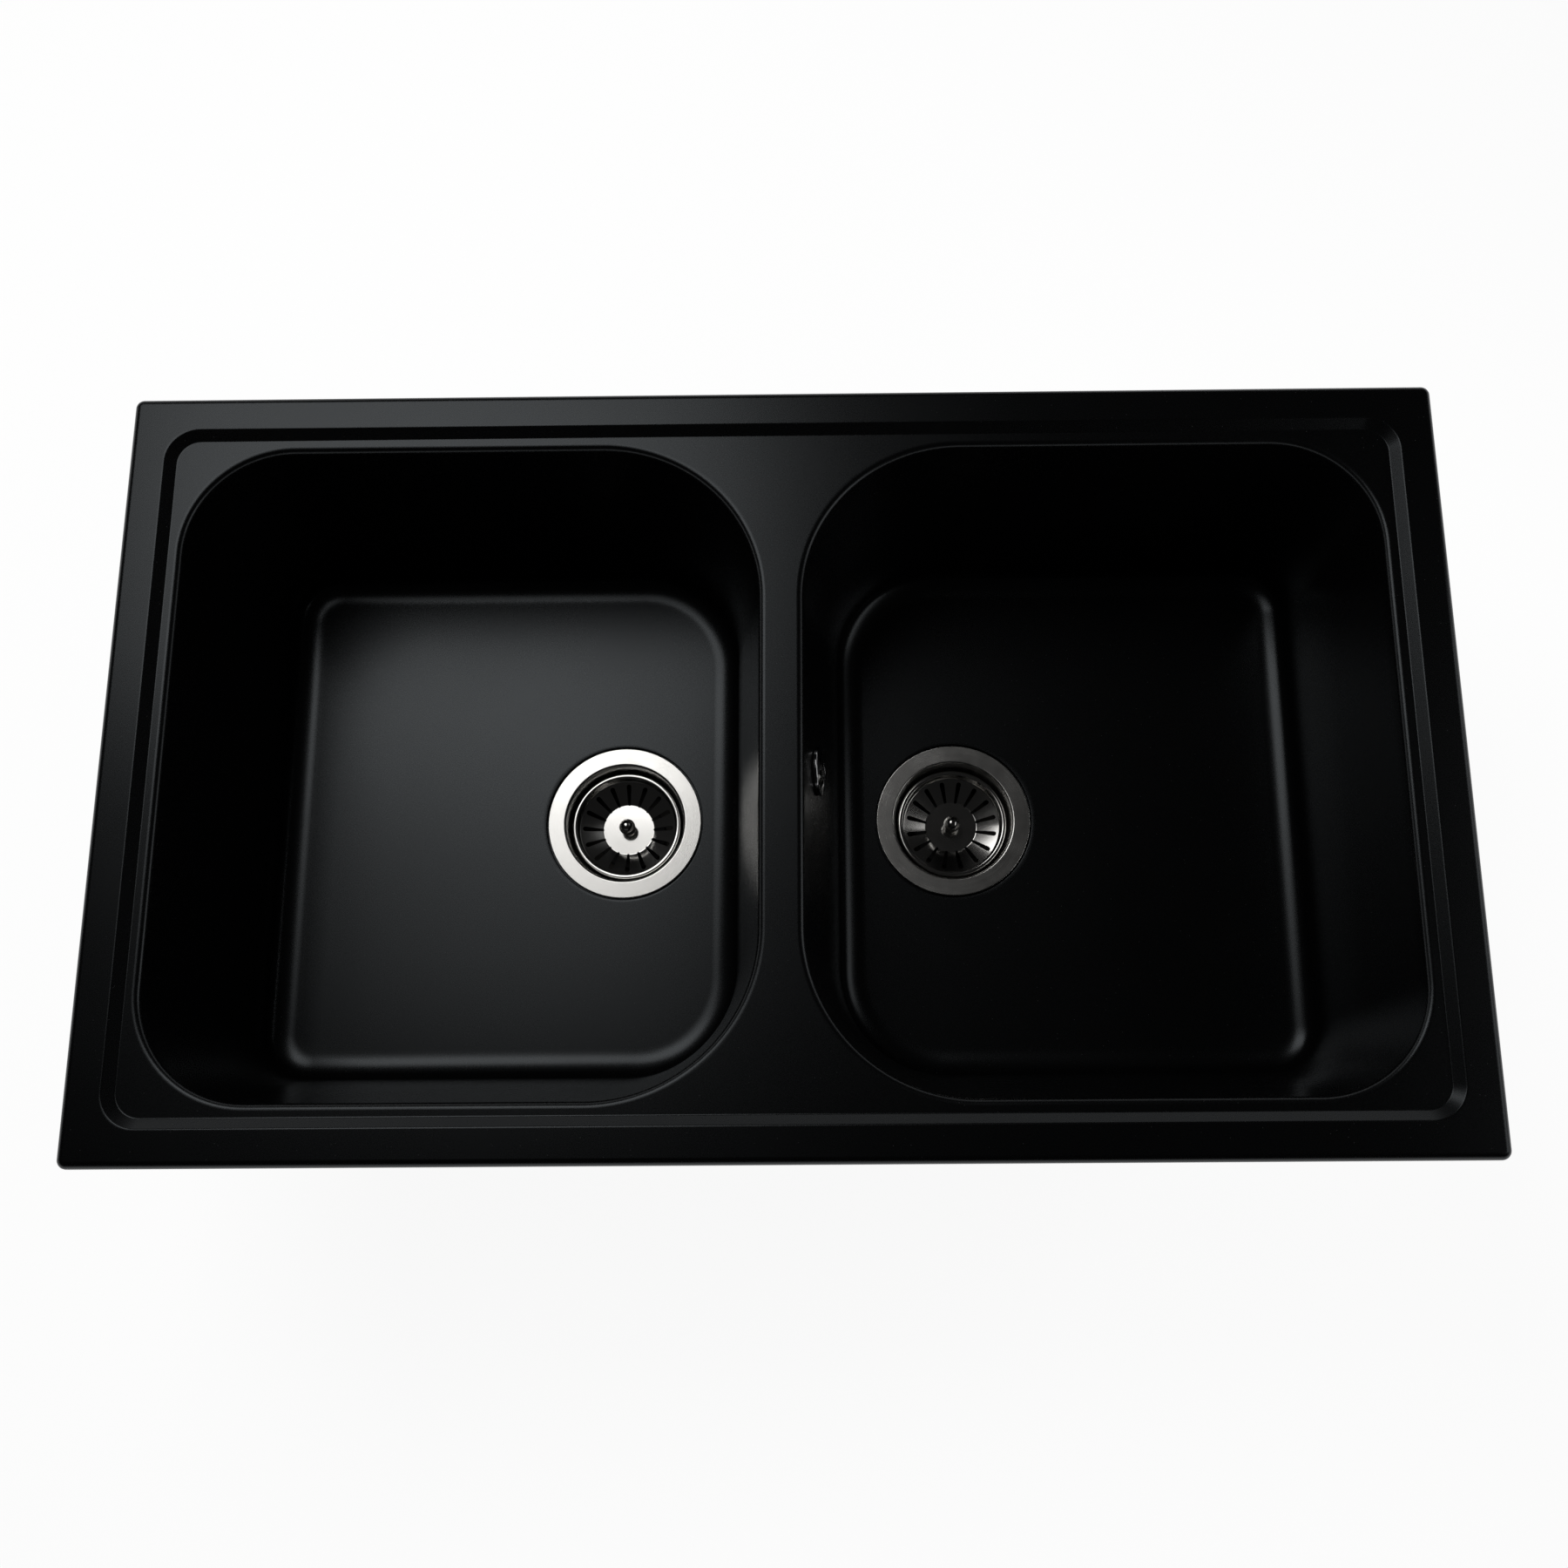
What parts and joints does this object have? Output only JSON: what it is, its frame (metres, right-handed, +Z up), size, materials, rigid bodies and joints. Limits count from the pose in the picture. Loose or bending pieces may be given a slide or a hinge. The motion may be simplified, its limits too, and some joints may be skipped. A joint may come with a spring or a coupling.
{
  "type": "double bowl kitchen sink",
  "caption": "Black composite drop-in kitchen sink with two bowls, basket strainer wastes, an overflow and swivelling fixing clips.",
  "frame": {"origin": "middle of the worktop cut-out, on the worktop's surface, which the rim's underside rests on", "axes": "+Z up out of the worktop, +X along the sink to the right bowl, +Y away from the user"},
  "size_m": [0.86, 0.5, 0.29],
  "materials": {
    "composite": "satin black quartz composite with fine light specks",
    "flange_steel": "fine brushed stainless steel",
    "basket_steel": "polished stainless steel",
    "seal_rubber": "soft black rubber",
    "foam_tape": "closed-cell foam tape",
    "waste_plastic": "moulded black polypropylene",
    "hose_plastic": "pale grey flexible plastic",
    "zinc_steel": "bright zinc plated steel",
    "insert_brass": "turned brass",
    "plug_plastic": "natural nylon",
    "rosette_chrome": "polished chrome plate"
  },
  "bodies": {
    "sink": {"sink_body": "composite", "rim_seal": "foam_tape", "left_waste_cup": "flange_steel", "left_flange_seal": "seal_rubber", "left_under_seal": "seal_rubber", "left_waste_body": "waste_plastic", "left_waste_screw": "zinc_steel", "left_waste_nut": "insert_brass", "right_waste_cup": "flange_steel", "right_flange_seal": "seal_rubber", "right_under_seal": "seal_rubber", "right_waste_body": "waste_plastic", "right_waste_screw": "zinc_steel", "right_waste_nut": "insert_brass", "overflow_rosette": "rosette_chrome", "overflow_screw": "rosette_chrome", "overflow_front_seal": "seal_rubber", "overflow_back_seal": "seal_rubber", "overflow_elbow": "waste_plastic", "overflow_hose": "hose_plastic", "hose_nut_top": "waste_plastic", "hose_nut_bottom": "waste_plastic", "clip_screws": "zinc_steel", "clip_nuts": "zinc_steel", "clip_plugs": "plug_plastic"},
    "left_basket": {"left_basket_pan": "basket_steel", "left_basket_knob": "basket_steel", "left_basket_stem": "basket_steel", "left_basket_stopper": "seal_rubber", "left_basket_washer": "basket_steel"},
    "right_basket": {"right_basket_pan": "basket_steel", "right_basket_knob": "basket_steel", "right_basket_stem": "basket_steel", "right_basket_stopper": "seal_rubber", "right_basket_washer": "basket_steel"},
    "clip_1": {"clip_bracket_1": "zinc_steel"},
    "clip_2": {"clip_bracket_2": "zinc_steel"},
    "clip_3": {"clip_bracket_3": "zinc_steel"},
    "clip_4": {"clip_bracket_4": "zinc_steel"},
    "clip_5": {"clip_bracket_5": "zinc_steel"},
    "clip_6": {"clip_bracket_6": "zinc_steel"},
    "clip_7": {"clip_bracket_7": "zinc_steel"},
    "clip_8": {"clip_bracket_8": "zinc_steel"}
  },
  "joints": [
    {"name": "left_basket_lift", "type": "slide", "parent": "sink", "child": "left_basket", "axis": [0, 0, 1], "range_m": [0, 0.06]},
    {"name": "right_basket_lift", "type": "slide", "parent": "sink", "child": "right_basket", "axis": [0, 0, 1], "range_m": [0, 0.06]},
    {"name": "clip_1_swivel", "type": "hinge", "parent": "sink", "child": "clip_1", "pos_m": [-0.29, 0.227, -0.0453], "axis": [0, 0, 1], "range_deg": [0, 90]},
    {"name": "clip_2_swivel", "type": "hinge", "parent": "sink", "child": "clip_2", "pos_m": [0, 0.227, -0.0453], "axis": [0, 0, 1], "range_deg": [0, 90]},
    {"name": "clip_3_swivel", "type": "hinge", "parent": "sink", "child": "clip_3", "pos_m": [0.29, 0.227, -0.0453], "axis": [0, 0, 1], "range_deg": [0, 90]},
    {"name": "clip_4_swivel", "type": "hinge", "parent": "sink", "child": "clip_4", "pos_m": [-0.29, -0.227, -0.0453], "axis": [0, 0, 1], "range_deg": [0, 90]},
    {"name": "clip_5_swivel", "type": "hinge", "parent": "sink", "child": "clip_5", "pos_m": [0, -0.227, -0.0453], "axis": [0, 0, 1], "range_deg": [0, 90]},
    {"name": "clip_6_swivel", "type": "hinge", "parent": "sink", "child": "clip_6", "pos_m": [0.29, -0.227, -0.0453], "axis": [0, 0, 1], "range_deg": [0, 90]},
    {"name": "clip_7_swivel", "type": "hinge", "parent": "sink", "child": "clip_7", "pos_m": [0.407, 0, -0.0453], "axis": [0, 0, 1], "range_deg": [0, 90]},
    {"name": "clip_8_swivel", "type": "hinge", "parent": "sink", "child": "clip_8", "pos_m": [-0.407, 0, -0.0453], "axis": [0, 0, 1], "range_deg": [0, 90]}
  ]
}
